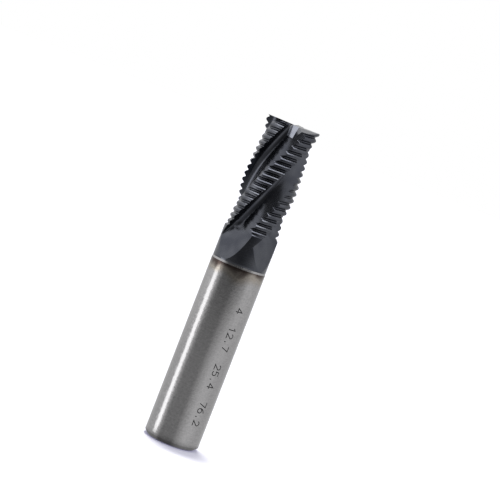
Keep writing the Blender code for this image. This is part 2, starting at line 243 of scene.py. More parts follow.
class Studio(bpy.types.PropertyGroup):
    floor: colour_property("Floor", "Colour of the floor", "#FFFFFF")
    strip_level: level_property(
        "Strip Level", "Brightness of the strip light on the left", 2.8)
    card_level: level_property(
        "Card Level", "Brightness of the dark card in front", 0.36)
    side_level: level_property(
        "Side Level", "Brightness of the grey cards to both sides", 0.8)
    top_level: level_property(
        "Top Level", "Brightness of the soft light overhead", 5.0)
    sun_level: level_property(
        "Sun Level", "Strength of the light that makes the shadow", 2.8)
    lens: FloatProperty(
        name="Lens", description="Focal length of the camera", default=162.68, min=10.0,
        unit="CAMERA")
    roll: angle_property("Roll", "Roll of the camera about its line of sight", 21.2551)


def soft_step(value):
    """0 up to 0, 1 from 1 on, and a soft S between them."""
    value = np.clip(value, 0.0, 1.0)
    return value * value * (3.0 - 2.0 * value)


def mix(first, second, share):
    return first + (second - first) * share


def polar(radius, angle):
    return radius * np.exp(1j * angle)


def arc_point(centre, start, end, share):
    """A point of the arc about a centre from start to end, by the short way round."""
    sweep = math.remainder(
        float(np.angle(end - centre)) - float(np.angle(start - centre)), math.tau)
    return centre + (start - centre) * polar(1.0, sweep * share)


def circles_meet(first, first_radius, second, second_radius):
    """Where two circles cross, to the left of the line from the first centre to the second."""
    distance = abs(second - first)
    along = (first_radius**2 - second_radius**2 + distance**2) / (2.0 * distance)
    aside = math.sqrt(max(first_radius**2 - along**2, 0.0))
    return first + (second - first) / distance * (along + 1j * aside)


class ToolShape:
    """The tool's surfaces as formulas, which take a whole array of heights at a time."""

    def __init__(self, sizes):
        self.length = sizes.overall_length
        self.flutes = sizes.flutes
        self.edge_radius = sizes.cutting_diameter / 2
        self.neck_radius = sizes.neck_diameter / 2
        self.core_radius = self.edge_radius - sizes.flute_depth
        self.widest_radius = max(self.edge_radius, self.neck_radius)
        self.ridges_end = self.length - sizes.cutting_length
        self.shoulder_top = self.ridges_end - sizes.neck_length
        self.runout_length = sizes.neck_length - RUNOUT_MARGIN
        self.sector = math.tau / self.flutes
        self.heel_angle = self.sector - sizes.land_angle
        self.twist = math.tan(sizes.helix_angle) / self.edge_radius
        self.first_edge = sizes.first_edge_angle
        self.pitch = sizes.ridge_pitch
        self.depth = sizes.ridge_depth
        self.relief = sizes.land_relief
        self.gullet_radius = sizes.gullet_radius
        self.set_flute_section(sizes.rake_angle, sizes.back_radius)

    def set_flute_section(self, rake_angle, back_radius):
        """One flute cut square to the axis, in front of a cutting edge at angle 0."""
        inward = -polar(1.0, rake_angle)
        self.inward = inward
        self.rake_top = self.edge_radius - inward * (
            self.widest_radius - self.edge_radius + OVERLAP)
        beside = self.edge_radius - 1j * inward * self.gullet_radius
        down = -(beside * inward.conjugate()).real
        reach = (self.core_radius + self.gullet_radius) ** 2 - abs(beside) ** 2 + down**2
        down -= math.sqrt(max(reach, 0.0))
        self.gullet_centre = beside + inward * down
        self.rake_foot = self.edge_radius + inward * down
        heel = polar(self.edge_radius - self.relief, self.heel_angle)
        self.back_centre = circles_meet(
            self.gullet_centre, self.gullet_radius + back_radius, heel, back_radius)
        to_back = self.back_centre - self.gullet_centre
        self.back_foot = self.gullet_centre + to_back / abs(to_back) * self.gullet_radius
        self.back_top = circles_meet(
            self.back_centre, back_radius, 0j, self.widest_radius + OVERLAP)

    def flute_point(self, place):
        rake = mix(self.rake_top, self.rake_foot, place)
        gullet = arc_point(
            self.gullet_centre, self.rake_foot, self.back_foot, place - RAKE_FOOT)
        back = arc_point(self.back_centre, self.back_foot, self.back_top, place - BACK_FOOT)
        return np.where(place < RAKE_FOOT, rake, np.where(place < BACK_FOOT, gullet, back))

    def edge_turn(self, z):
        """Angle of the first cutting edge, and of the line that it would follow down the neck."""
        return self.first_edge + self.twist * (z - self.length)

    def runout_point(self, z, place):
        """A point of the runout: down what is left of the rake face, then across the flat.

        Further down, the rake face has ended and the flat starts at the outside of the neck.
        """
        share = np.clip((self.ridges_end - z) / self.runout_length,
                        -RUNOUT_LEAD / self.runout_length, RUNOUT_LAST_SHARE)
        depth = (self.neck_radius - self.core_radius) * RUNOUT_DEPTH_SHARE * (1.0 - share)
        ahead = RUNOUT_AHEAD_ANGLE + RUNOUT_TURN * share + self.twist * (self.ridges_end - z)
        facing = polar(1.0, ahead)
        flat = self.neck_radius - depth
        half = np.sqrt(self.neck_radius**2 - flat**2)
        reach = np.sqrt((self.widest_radius + OVERLAP) ** 2 - flat**2)
        raked = ahead < np.arccos(1.0 - depth / self.neck_radius)
        down = flat - (self.rake_top * facing.conjugate()).real
        down = down / np.where(raked, (self.inward * facing.conjugate()).real, -1.0)
        top = np.where(raked, self.rake_top, facing * (flat - 1j * reach))
        foot = np.where(raked, self.rake_top + self.inward * down, facing * (flat - 1j * half))
        back = facing * (flat + 1j * half * RUNOUT_BACK_SHARE)
        end = facing * (flat + 1j * reach)
        return np.where(place < RAKE_FOOT, mix(top, foot, place),
                        np.where(place < BACK_FOOT, mix(foot, back, place - RAKE_FOOT),
                                 mix(back, end, place - BACK_FOOT)))

    def groove_point(self, z, place):
        """A point of the flute or of its runout, with the cutting edge at angle 0."""
        blend = soft_step((self.ridges_end + RUNOUT_LEAD - z) / RUNOUT_BLEND)
        return mix(self.flute_point(place), self.runout_point(z, place), blend)

    def place_at_radius(self, z, radius, outer):
        """The places where the groove comes up to a radius, on the side of its outer end given."""
        inner = np.full_like(z, GULLET_MIDDLE)
        outer = np.full_like(z, outer)
        for _ in range(HALVINGS):
            middle = (outer + inner) / 2.0
            outside = np.abs(self.groove_point(z, middle)) > radius
            outer = np.where(outside, middle, outer)
            inner = np.where(outside, inner, middle)
        return (outer + inner) / 2.0

    def ridge_phase(self, z, angle):
        """Counts the ridges: turns of a right-hand thread, set off on every other tooth."""
        tooth = np.ceil((angle - self.edge_turn(z)) / self.sector - EDGE_SLACK) % self.flutes
        height = z - self.length + FIRST_RIDGE_DROP
        return height / self.pitch - angle / math.tau + RIDGE_STAGGER * (tooth % 2)

    def land_radius(self, z, angle, behind):
        """Radius of a land, where behind is 0 at the cutting edge and 1 at the heel."""
        crest = math.sqrt(1.0 + VALLEY_ROUNDING)
        valley = math.sqrt(VALLEY_ROUNDING)
        wave = np.sqrt(np.cos(math.pi * self.ridge_phase(z, angle)) ** 2 + VALLEY_ROUNDING)
        ridge = self.depth * (crest - wave) / (crest - valley)
        toothed = self.edge_radius - self.relief * behind - ridge
        faded = soft_step((self.ridges_end - z) / RIDGE_FADE)
        return mix(toothed, self.neck_radius, faded)

    def land_border(self, z, turn, nominal, behind, outer):
        """The places and angles where a land ends at the groove, on the side given."""
        angle = np.full_like(z, nominal)
        for _ in range(BORDER_ROUNDS):
            radius = self.land_radius(z, turn + angle, behind)
            place = self.place_at_radius(z, radius, outer)
            angle = np.angle(self.groove_point(z, place))
        return place, angle

    def sections(self, z):
        """Cross-section points, one row for each height, and which strips belong to a land."""
        turns = [self.edge_turn(z) + sector * self.sector for sector in range(self.flutes)]
        edges = [self.land_border(z, turn, 0.0, 0.0, RAKE_TOP) for turn in turns]
        columns = []
        on_land = []
        for sector, turn in enumerate(turns):
            edge_place, _ = edges[sector]
            heel_place, heel_angle = self.land_border(
                z, turn, self.heel_angle, 1.0, BACK_TOP)
            places = [mix(edge_place, RAKE_FOOT, i / RAKE_STRIPS) for i in range(RAKE_STRIPS)]
            places += [np.full_like(z, mix(RAKE_FOOT, BACK_FOOT, i / GULLET_STRIPS))
                       for i in range(GULLET_STRIPS)]
            places += [mix(BACK_FOOT, heel_place, i / BACK_STRIPS) for i in range(BACK_STRIPS)]
            for place in places:
                columns.append(self.groove_point(z, place) * polar(1.0, turn))
                on_land.append(False)
            next_edge = self.sector + edges[(sector + 1) % self.flutes][1]
            for i in range(LAND_STRIPS):
                share = i / LAND_STRIPS
                angle = turn + mix(heel_angle, next_edge, share)
                columns.append(polar(self.land_radius(z, angle, 1.0 - share), angle))
                on_land.append(True)
        return np.stack(columns, axis=1), on_land


def ring_quads(first, second, count):
    """Quads between two rings of the same count, given by their first vertices."""
    return [(first + i, second + i, second + (i + 1) % count, first + (i + 1) % count)
            for i in range(count)]


def mesh_object(name, points, faces, kinds=None):
    """A smooth mesh in the scene, where kinds give each face's material."""
    mesh = bpy.data.meshes.new(name)
    mesh.from_pydata(points, [], faces)
    if kinds is not None:
        mesh.polygons.foreach_set("material_index", kinds)
    mesh.shade_smooth()
    mesh.update()
    made = bpy.data.objects.new(name, mesh)
    bpy.context.scene.collection.objects.link(made)
    return made


# Which of the cutting end's materials a face has
LAND, FLUTE, END_FACE = 0, 1, 2


def rough_cutting_end(shape):
    """The ridged lands, the flutes and the neck, a little over length."""
    top = shape.length + OVERLAP
    fade_end = shape.ridges_end - RIDGE_FADE
    rows = round((top - fade_end) / shape.pitch * RIDGE_STEPS)
    foot = shape.ridges_end - shape.runout_length * RUNOUT_LAST_SHARE
    neck = [mix(fade_end, foot, math.sin(math.pi / 2.0 * (i + 1) / NECK_ROWS))
            for i in range(NECK_ROWS)]
    heights = np.concatenate([np.linspace(top, fade_end, rows + 1), neck])
    section, on_land = shape.sections(heights)
    closed = polar(shape.neck_radius, np.angle(section[-1]))
    spigot = polar(shape.neck_radius - OVERLAP, np.angle(section[-1]))
    section = np.vstack([section, closed, spigot])
    heights = np.append(heights, [shape.shoulder_top, shape.shoulder_top - OVERLAP])

    count = section.shape[1]
    points = [(flat.real, flat.imag, z) for row, z in zip(section, heights) for flat in row]
    faces = [tuple(range(count))]
    kinds = [END_FACE]
    strips = [LAND if land else FLUTE for land in on_land]
    last = (len(heights) - 1) * count
    for first in range(0, last, count):
        faces += ring_quads(first, first + count, count)
        kinds += strips
    faces.append(tuple(range(last + count - 1, last - 1, -1)))
    kinds.append(LAND)
    return mesh_object("cutting_end", points, faces, kinds)


def wedge(name, turn, planes, tip, size):
    """What lies in front of all of some planes near the tool's end, as a hidden cutter.

    Each plane is a point and a normal, with x along the end tooth's cutting edge, y ahead
    of it and z up from its corner.
    """
    mesh = bmesh.new()
    bmesh.ops.create_cube(mesh, size=size)
    for point, normal in planes:
        cut = bmesh.ops.bisect_plane(
            mesh, geom=mesh.verts[:] + mesh.edges[:] + mesh.faces[:],
            plane_co=point, plane_no=normal, clear_inner=True)
        rim = [part for part in cut["geom_cut"] if isinstance(part, bmesh.types.BMEdge)]
        bmesh.ops.contextual_create(mesh, geom=rim)
    bmesh.ops.recalc_face_normals(mesh, faces=mesh.faces)
    data = bpy.data.meshes.new(name)
    mesh.to_mesh(data)
    mesh.free()
    cutter = bpy.data.objects.new(name, data)
    cutter.location.z = tip
    cutter.rotation_euler.z = turn
    return cutter


def facing_normal(outward_slope, ahead_slope):
    """The upward normal of a plane from its rise per length along the edge and ahead of it."""
    return (-outward_slope, -ahead_slope, 1.0)


def end_tooth_cutters(shape, tooth):
    """The end relief behind one tooth, its clearance, and the gash in front of it."""
    corner = Vector((shape.edge_radius, 0.0, 0.0))
    start = SHORT_TOOTH_START if tooth % 2 else LONG_TOOTH_START
    behind = ((0.0, OVERLAP, 0.0), (0.0, -1.0, 0.0))
    inside = ((min(start, OVERLAP), 0.0, 0.0), (1.0, 0.0, 0.0))
    relief_planes = [behind, inside, (corner, facing_normal(DISH_SLOPE, END_RELIEF_SLOPE))]
    relief_end = corner - Vector((0.0, END_RELIEF_WIDTH, END_RELIEF_WIDTH * END_RELIEF_SLOPE))
    clearance_planes = [
        behind, inside, (relief_end, facing_normal(DISH_SLOPE, END_CLEARANCE_SLOPE))]
    gash_start = Vector((start, 0.0, -GASH_DEPTH))
    wall_foot = gash_start + Vector((0.0, GASH_WIDTH, GASH_WIDTH * GASH_FLOOR_SLOPE))
    gash_planes = [
        ((0.0, END_WEB / 2.0, 0.0), (0.0, 1.0, 0.0)),
        (gash_start, facing_normal(-GASH_SLOPE, GASH_FLOOR_SLOPE)),
        (wall_foot, facing_normal(-GASH_SLOPE, GASH_WALL_SLOPE)),
    ]
    turn = shape.first_edge + tooth * shape.sector
    size = CUTTER_SIZE * shape.edge_radius
    return [wedge(f"end_grind_{tooth}", turn, planes, shape.length, size)
            for planes in (relief_planes, clearance_planes, gash_planes)]


def grind_end_teeth(body, shape, end_material):
    """Cuts the end teeth into the body, and gives their faces their own material."""
    cutters = bpy.data.collections.new("end_grinding")
    bpy.context.scene.collection.children.link(cutters)
    for tooth in range(shape.flutes):
        for cutter in end_tooth_cutters(shape, tooth):
            cutter.data.materials.append(end_material)
            cutters.objects.link(cutter)
    grind = body.modifiers.new("end_teeth", "BOOLEAN")
    grind.operation = "DIFFERENCE"
    grind.operand_type = "COLLECTION"
    grind.collection = cutters
    grind.solver = "EXACT"
    grind.material_mode = "TRANSFER"
    graph = bpy.context.evaluated_depsgraph_get()
    ground = bpy.data.meshes.new_from_object(body.evaluated_get(graph))
    body.modifiers.clear()
    rough = body.data
    body.data = ground
    ground.name = rough.name
    bpy.data.meshes.remove(rough)
    for cutter in list(cutters.objects):
        bpy.data.meshes.remove(cutter.data)
    bpy.data.collections.remove(cutters)


def mark_ground_edges(data, end_index):
    """Sharp edges where two ground surfaces meet, and smooth shading over each of them."""
    mesh = bmesh.new()
    mesh.from_mesh(data)
    for edge in mesh.edges:
        if len(edge.link_faces) != 2:
            continue
        first, second = edge.link_faces
        meet = first.material_index != second.material_index
        ends = end_index in (first.material_index, second.material_index)
        edge.smooth = not ((meet or ends) and edge.calc_face_angle() > CRISP_ANGLE)
    for face in mesh.faces:
        face.smooth = True
    mesh.to_mesh(data)
    mesh.free()


def corner_points(before, corner, after, radius):
    """A profile's corner with its edge broken by a small arc, as points from before to after."""
    before, corner, after = (Vector(point) for point in (before, corner, after))
    to_before = (before - corner).normalized()
    to_after = (after - corner).normalized()
    points = []
    for step in range(CORNER_STEPS + 1):
        share = step / CORNER_STEPS
        start = corner + to_before * radius * (1.0 - share)
        end = corner + to_after * radius * share
        points.append(start.lerp(end, share))
    return points


def shank_profile(sizes, shape):
    """Radius and height of each ring, from the shank's end up to the neck."""
    radius = sizes.shank_diameter / 2
    foot = shape.shoulder_top - sizes.shoulder_length
    centre = (0.0, 0.0)
    rim = (radius - sizes.shank_chamfer, 0.0)
    chamfer_top = (radius, sizes.shank_chamfer)
    shoulder_foot = (radius, foot)
    shoulder_top = (shape.neck_radius, shape.shoulder_top)
    profile = corner_points(centre, rim, chamfer_top, EDGE_ROUNDING)
    profile += corner_points(rim, chamfer_top, shoulder_foot, EDGE_ROUNDING)
    profile += corner_points(chamfer_top, shoulder_foot, shoulder_top, EDGE_ROUNDING)
    return profile + [Vector(shoulder_top)]


def shank_object(sizes, shape):
    points = []
    for ring in shank_profile(sizes, shape):
        for i in range(SHANK_FACETS):
            flat = polar(ring.x, math.tau * i / SHANK_FACETS)
            points.append((flat.real, flat.imag, ring.y))
    faces = [tuple(range(SHANK_FACETS - 1, -1, -1))]
    last = len(points) - SHANK_FACETS
    for first in range(0, last, SHANK_FACETS):
        faces += ring_quads(first + SHANK_FACETS, first, SHANK_FACETS)
    faces.append(tuple(range(last, last + SHANK_FACETS)))
    return mesh_object("shank", points, faces)


# The strokes of each digit, on a grid one unit wide and one and a half high. A stroke is a
# line through points, and bow gives the points of its round parts.
DIGIT_HEIGHT = 1.5
STROKE_STEP = 0.12
CAP_ANGLES = (math.pi / 4.0, 0.0, -math.pi / 4.0)
# The cosine of half the sharpest bend that a stroke's outside follows to its point
SHARPEST_LEAN = 0.35
# The marking stands this far proud of the shank, so that it shows, and reaches this far in.
MARK_RISE = 0.000003
MARK_DEPTH = 0.00004


def bow(x, y, across, up, start, end, steps=10):
    """Points of an ellipse's arc from one angle in degrees to another."""
    angles = np.radians(np.linspace(start, end, steps + 1))
    return [(x + across * math.cos(a), y + up * math.sin(a)) for a in angles]


DIGITS = {
    "0": [bow(0.5, 0.75, 0.5, 0.75, 90.0, 450.0, 20)],
    "1": [[(0.2, 1.2), (0.55, 1.5), (0.55, 0.0)]],
    "2": [bow(0.5, 1.05, 0.45, 0.45, 165.0, -25.0) + [(0.02, 0.0), (1.0, 0.0)]],
    "3": [bow(0.48, 1.12, 0.4, 0.38, 150.0, -90.0), bow(0.48, 0.37, 0.47, 0.37, 90.0, -150.0)],
    "4": [[(1.0, 0.42), (0.0, 0.42), (0.72, 1.5), (0.72, 0.0)]],
    "5": [[(0.92, 1.5), (0.18, 1.5), (0.1, 0.82)] + bow(0.48, 0.46, 0.46, 0.46, 125.0, -140.0)],
    "6": [[(0.82, 1.5)] + bow(0.85, 0.55, 0.83, 0.85, 130.0, 180.0, 5)
          + bow(0.5, 0.46, 0.47, 0.46, 180.0, 540.0, 18)],
    "7": [[(0.0, 1.5), (1.0, 1.5), (0.38, 0.0)]],
    "8": [bow(0.5, 1.12, 0.38, 0.38, -90.0, 270.0, 16),
          bow(0.5, 0.37, 0.46, 0.37, 90.0, 450.0, 16)],
    "9": [bow(0.5, 1.04, 0.47, 0.46, 0.0, 360.0, 18) + bow(0.15, 0.95, 0.83, 0.85, 0.0, -50.0, 5)
          + [(0.18, 0.0)]],
    ".": [[(0.45, 0.0), (0.45, 0.2)]],
}


def stroke_outline(line, half_width):
    """A closed outline round a line of points, with round ends: up one side and back.

    Long straight parts get points between, so that they can be bent round the shank.
    """
    corners = [complex(*point) for point in line]
    points = corners[:1]
    for before, after in zip(corners, corners[1:]):
        count = math.ceil(abs(after - before) / STROKE_STEP)
        points += [mix(before, after, (i + 1) / count) for i in range(count)]
    sides = ([], [])
    for i, point in enumerate(points):
        ahead = points[min(i + 1, len(points) - 1)] - points[max(i - 1, 0)]
        before = point - points[i - 1] if i else ahead
        after = points[i + 1] - point if i < len(points) - 1 else ahead
        normal = 1j * (before / abs(before) + after / abs(after))
        normal /= abs(normal)
        lean = max((normal * (1j * after / abs(after)).conjugate()).real, SHARPEST_LEAN)
        sides[0].append(point + normal * half_width / lean)
        sides[1].append(point - normal * half_width / lean)
    caps = []
    for tip, beside in ((points[-1], points[-2]), (points[0], points[1])):
        out = (tip - beside) / abs(tip - beside)
        caps.append([tip + out * half_width * polar(1.0, angle) for angle in CAP_ANGLES])
    return sides[0] + caps[0] + sides[1][::-1] + caps[1]


def stroke_faces(count):
    """Faces that fill an outline of count points, quads along the stroke and one at each cap."""
    cap = len(CAP_ANGLES)
    size = count // 2 - cap
    last = count - cap - 1
    faces = [(i, i + 1, last - 1 - i, last - i) for i in range(size - 1)]
    return faces + [tuple(range(size - 1, size + cap + 1)), (*range(last, count), 0)]


def marking_object(sizes, marking):
    """The numbers as thin strokes that follow the shank, reading down from the tip."""
    radius = sizes.shank_diameter / 2
    scale = marking.height / DIGIT_HEIGHT
    half_width = marking.stroke / 2.0 / scale
    points = []
    faces = []

    def wrap(flat, level, along):
        angle = marking.angle + (flat.imag - DIGIT_HEIGHT / 2.0) * scale / radius
        place = polar(level, angle)
        return (place.real, place.imag, marking.start - along - flat.real * scale)

    for index, digit in enumerate(marking.numbers):
        along = index * marking.advance
        for line in DIGITS.get(digit, []):
            outline = stroke_outline(line, half_width)
            count = len(outline)
            first = len(points)
            for level in (radius + MARK_RISE, radius - MARK_DEPTH):
                points.extend(wrap(flat, level, along) for flat in outline)
            faces += ring_quads(first, first + count, count)
            cover = stroke_faces(count)
            faces += [tuple(first + i for i in face) for face in cover]
            faces += [tuple(first + count + i for i in reversed(face)) for face in cover]
    made = mesh_object("size_marking", points, faces)
    mesh = bmesh.new()
    mesh.from_mesh(made.data)
    bmesh.ops.recalc_face_normals(mesh, faces=mesh.faces)
    mesh.to_mesh(made.data)
    mesh.free()
    made.data.shade_flat()
    return made


def add_node(tree, kind, inputs=None, **settings):
    """Adds a node. Its inputs, by name or number, take a value, a socket or a node's first one."""
    made = tree.nodes.new(kind)
    for name, value in settings.items():
        setattr(made, name, value)
    for key, value in (inputs or {}).items():
        if isinstance(value, bpy.types.Node):
            value = value.outputs[0]
        if isinstance(value, bpy.types.NodeSocket):
            tree.links.new(value, made.inputs[key])
        else:
            made.inputs[key].default_value = value
    return made


def new_material(name):
    material = bpy.data.materials.new(name)
    material.use_nodes = True
    material.node_tree.nodes.clear()
    return material


def finish_material(material, shader):
    output = add_node(material.node_tree, "ShaderNodeOutputMaterial", {"Surface": shader})
    output.is_active_output = True
    return material


def grinding_marks(tree, place, grain):
    """Fine uneven marks of the grain's size along each axis, between 0 and 1."""
    cells = add_node(
        tree, "ShaderNodeVectorMath",
        {0: place, 1: tuple(1.0 / size for size in grain)}, operation="MULTIPLY")
    return add_node(
        tree, "ShaderNodeTexNoise",
        {"Vector": cells, "Scale": 1.0, "Detail": 3.0, "Roughness": 0.6})


def coated_carbide(name, finish, grain, twist=0.0):
    """Ground tungsten carbide under a PVD hard coating of a few microns.

    The coating is dark, slightly blue and satin, and follows the grinding marks below it,
    so it shows them as faint lines. Grain is the size of the marks along each axis, and
    twist turns them with the height so that they run along a flute.
    """
    material = new_material(name)
    tree = material.node_tree
    place = add_node(tree, "ShaderNodeTexCoord").outputs["Object"]
    turned = place
    if twist:
        height = add_node(tree, "ShaderNodeSeparateXYZ", {"Vector": place}).outputs["Z"]
        angle = add_node(tree, "ShaderNodeMath", {0: height, 1: -twist}, operation="MULTIPLY")
        turned = add_node(
            tree, "ShaderNodeVectorRotate",
            {"Vector": place, "Angle": angle}, rotation_type="Z_AXIS")
    marks = grinding_marks(tree, turned, grain)
    # The colour of the coating drifts over a few millimetres with its thickness.
    drift = add_node(
        tree, "ShaderNodeTexNoise", {"Vector": place, "Scale": 1.0 / 0.0035, "Detail": 1.0})
    amount = add_node(
        tree, "ShaderNodeMapRange", {"Value": drift, "From Min": 0.35, "From Max": 0.65})
    colour = add_node(
        tree, "ShaderNodeMix",
        {"Factor": amount, COLOUR_A: (*finish.coating, 1.0),
         COLOUR_B: (*finish.coating_shade, 1.0)}, data_type="RGBA")
    rough = add_node(
        tree, "ShaderNodeMapRange",
        {"Value": marks, "From Min": 0.25, "From Max": 0.75, "To Min": 0.18, "To Max": 0.30})
    relief = add_node(
        tree, "ShaderNodeBump", {"Height": marks, "Strength": 1.0, "Distance": 0.000010})
    shader = add_node(
        tree, "ShaderNodeBsdfPrincipled",
        {"Base Color": colour.outputs[COLOUR_OUT], "Roughness": rough, "Normal": relief,
         "Metallic": 1.0})
    return finish_material(material, shader)


# The tint's lower edge leans this much along X and Y, and wanders this far up and down by one
# of the noise's patterns. Its upper edge is this far up the shoulder's broken edge.
TINT_LEAN = (-0.03, -0.06, 1.0)
TINT_WANDER = 0.0009
TINT_PATTERN = 4.1
TINT_MARGIN = 0.00006


def ground_carbide(name, finish, shoulder_foot):
    """Bare tungsten carbide, ground round between centres with a fine wheel.

    It is a grey metal with a soft shine, and very fine rings run round it. Just below the
    shoulder it carries the last thin breath of the coating, brown and then gold.
    """
    material = new_material(name)
    tree = material.node_tree
    place = add_node(tree, "ShaderNodeTexCoord").outputs["Object"]
    # A ground finish has rings about 0.02 mm apart. They are drawn 0.16 mm apart, so that
    # they show at all, and each runs a few millimetres round the shank.
    rings = grinding_marks(tree, place, (0.003, 0.003, 0.00016))
    # The wheel's chatter leaves the surface uneven by a few microns, over half a millimetre,
    # which breaks up the edges of reflections.
    chatter = add_node(
        tree, "ShaderNodeTexNoise", {"Vector": place, "Scale": 1.0 / 0.0005, "Detail": 2.0})
    both = add_node(tree, "ShaderNodeMath", {0: rings, 1: chatter}, operation="ADD")
    rough = add_node(
        tree, "ShaderNodeMapRange",
        {"Value": both, "From Min": 0.6, "From Max": 1.4, "To Min": 0.09, "To Max": 0.27})
    uneven = add_node(
        tree, "ShaderNodeBump", {"Height": chatter, "Strength": 1.0, "Distance": 0.000016})
    relief = add_node(
        tree, "ShaderNodeBump",
        {"Height": rings, "Strength": 1.0, "Distance": 0.000002, "Normal": uneven})

    # The thin coating ends unevenly, as the tool stood a little askew when it was coated.
    height = add_node(tree, "ShaderNodeSeparateXYZ", {"Vector": place}).outputs["Z"]
    leaning = add_node(
        tree, "ShaderNodeVectorMath", {0: place, 1: TINT_LEAN}, operation="DOT_PRODUCT")
    waver = add_node(
        tree, "ShaderNodeTexNoise",
        {"Vector": place, "W": TINT_PATTERN, "Scale": 1.0 / 0.005, "Detail": 2.0},
        noise_dimensions="4D")
    wander = add_node(
        tree, "ShaderNodeMapRange",
        {"Value": waver, "From Min": 0.3, "From Max": 0.7, "To Min": -TINT_WANDER,
         "To Max": TINT_WANDER})
    level = add_node(
        tree, "ShaderNodeMath", {0: leaning.outputs["Value"], 1: wander}, operation="ADD")
    fade = add_node(
        tree, "ShaderNodeMapRange",
        {"Value": level, "From Max": shoulder_foot,
         "From Min": shoulder_foot - finish.tint_length}, interpolation_type="SMOOTHSTEP")
    # The shoulder itself is bare.
    below = add_node(
        tree, "ShaderNodeMath", {0: height, 1: shoulder_foot + TINT_MARGIN}, operation="LESS_THAN")
    tint = add_node(tree, "ShaderNodeMath", {0: fade, 1: below}, operation="MULTIPLY")
    gold = add_node(tree, "ShaderNodeMapRange", {"Value": tint, "From Max": 0.6})
    brown = add_node(tree, "ShaderNodeMapRange", {"Value": tint, "From Min": 0.7})
    golden = add_node(
        tree, "ShaderNodeMix",
        {"Factor": gold, COLOUR_A: (*finish.carbide, 1.0), COLOUR_B: (*finish.tint_gold, 1.0)},
        data_type="RGBA")
    tinted = add_node(
        tree, "ShaderNodeMix",
        {"Factor": brown, COLOUR_A: golden.outputs[COLOUR_OUT],
         COLOUR_B: (*finish.tint_dark, 1.0)}, data_type="RGBA")
    # The tiny pits between the grinding marks darken it unevenly.
    pits = add_node(
        tree, "ShaderNodeMapRange",
        {"Value": both, "From Min": 0.7, "From Max": 1.3, "To Min": 0.88, "To Max": 1.1})
    pitted = add_node(
        tree, "ShaderNodeHueSaturation", {"Color": tinted.outputs[COLOUR_OUT], "Value": pits})
    shader = add_node(
        tree, "ShaderNodeBsdfPrincipled",
        {"Base Color": pitted, "Roughness": rough, "Normal": relief, "Metallic": 1.0})
    return finish_material(material, shader)


def laser_mark(name, finish):
    """Carbide darkened by a marking laser, which leaves it matt and slightly uneven."""
    material = new_material(name)
    tree = material.node_tree
    place = add_node(tree, "ShaderNodeTexCoord").outputs["Object"]
    # The laser's spots are about 0.05 mm across, drawn 0.15 mm so that they show.
    spots = add_node(tree, "ShaderNodeTexNoise", {"Vector": place, "Scale": 1.0 / 0.00015})
    rough = add_node(tree, "ShaderNodeMapRange", {"Value": spots, "To Min": 0.45, "To Max": 0.75})
    shader = add_node(
        tree, "ShaderNodeBsdfPrincipled",
        {"Base Color": (*finish.marking, 1.0), "Roughness": rough, "Metallic": 1.0})
    return finish_material(material, shader)


def glowing_card(name, points, faces, levels):
    """A card that only shows in the tool's reflections, with a light level at each point."""
    card = mesh_object(name, points, faces)
    light = card.data.attributes.new("light", "FLOAT", "POINT")
    light.data.foreach_set("value", levels)
    material = new_material(name)
    tree = material.node_tree
    level = add_node(tree, "ShaderNodeAttribute", attribute_name="light")
    glow = add_node(
        tree, "ShaderNodeEmission",
        {"Color": (1.0, 1.0, 1.0, 1.0), "Strength": level.outputs["Fac"]})
    card.data.materials.append(finish_material(material, glow))
    card.visible_camera = False
    card.visible_diffuse = False
    card.visible_shadow = False


def level_corners(left, right, depth, height):
    """Corners of a level rectangle, as deep behind the tool as in front of it."""
    return [(left, -depth, height), (right, -depth, height), (right, depth, height),
            (left, depth, height)]


def surround_card(name, sizes, rings, low_stops, high_stops):
    """Cards bent round the tool, which start on the floor below it and stand up further out.

    Stops are pairs of an azimuth in degrees, 0 towards the camera and rising to its right,
    and a light level. Each ring is its distance out from the shank, its height, its share
    of the high stops over the low ones, and a factor on its light. An azimuth's column
    starts where the shank mirrors it to the camera, so that upright edges stay straight
    down the whole shank.
    """
    azimuths = np.arange(low_stops[0][0], low_stops[-1][0] + 0.5, 1.0)
    low = np.interp(azimuths, *zip(*low_stops))
    high = np.interp(azimuths, *zip(*high_stops))
    shank_radius = sizes.shank_diameter / 2
    points = []
    levels = []
    for azimuth, low_level, high_level in zip(np.radians(azimuths), low, high):
        start = Vector((math.sin(azimuth / 2.0), -math.cos(azimuth / 2.0)))
        ahead = Vector((math.sin(azimuth), -math.cos(azimuth)))
        for reach, height, high_share, factor in rings:
            place = start * (shank_radius + min(reach, 0.0)) + ahead * max(reach, 0.0)
            points.append((*place, height))
            levels.append(mix(low_level, high_level, high_share) * factor)
    faces = []
    for i in range(len(azimuths) - 1):
        for j in range(len(rings) - 1):
            first = i * len(rings) + j
            faces.append((first, first + 1, first + len(rings) + 1, first + len(rings)))
    glowing_card(name, points, faces, levels)


# Heights above the floor and distances out from the shank of the cards and the strip light,
# and the left and right end of the top light, its depth and its height
CARD_LIFT = 0.0002
CARD_REACH = 0.11
STRIP_LIFT = 0.0004
STRIP_REACH = 0.10
TOP_LIGHT = (-0.3, 0.12, 0.2, 0.4)


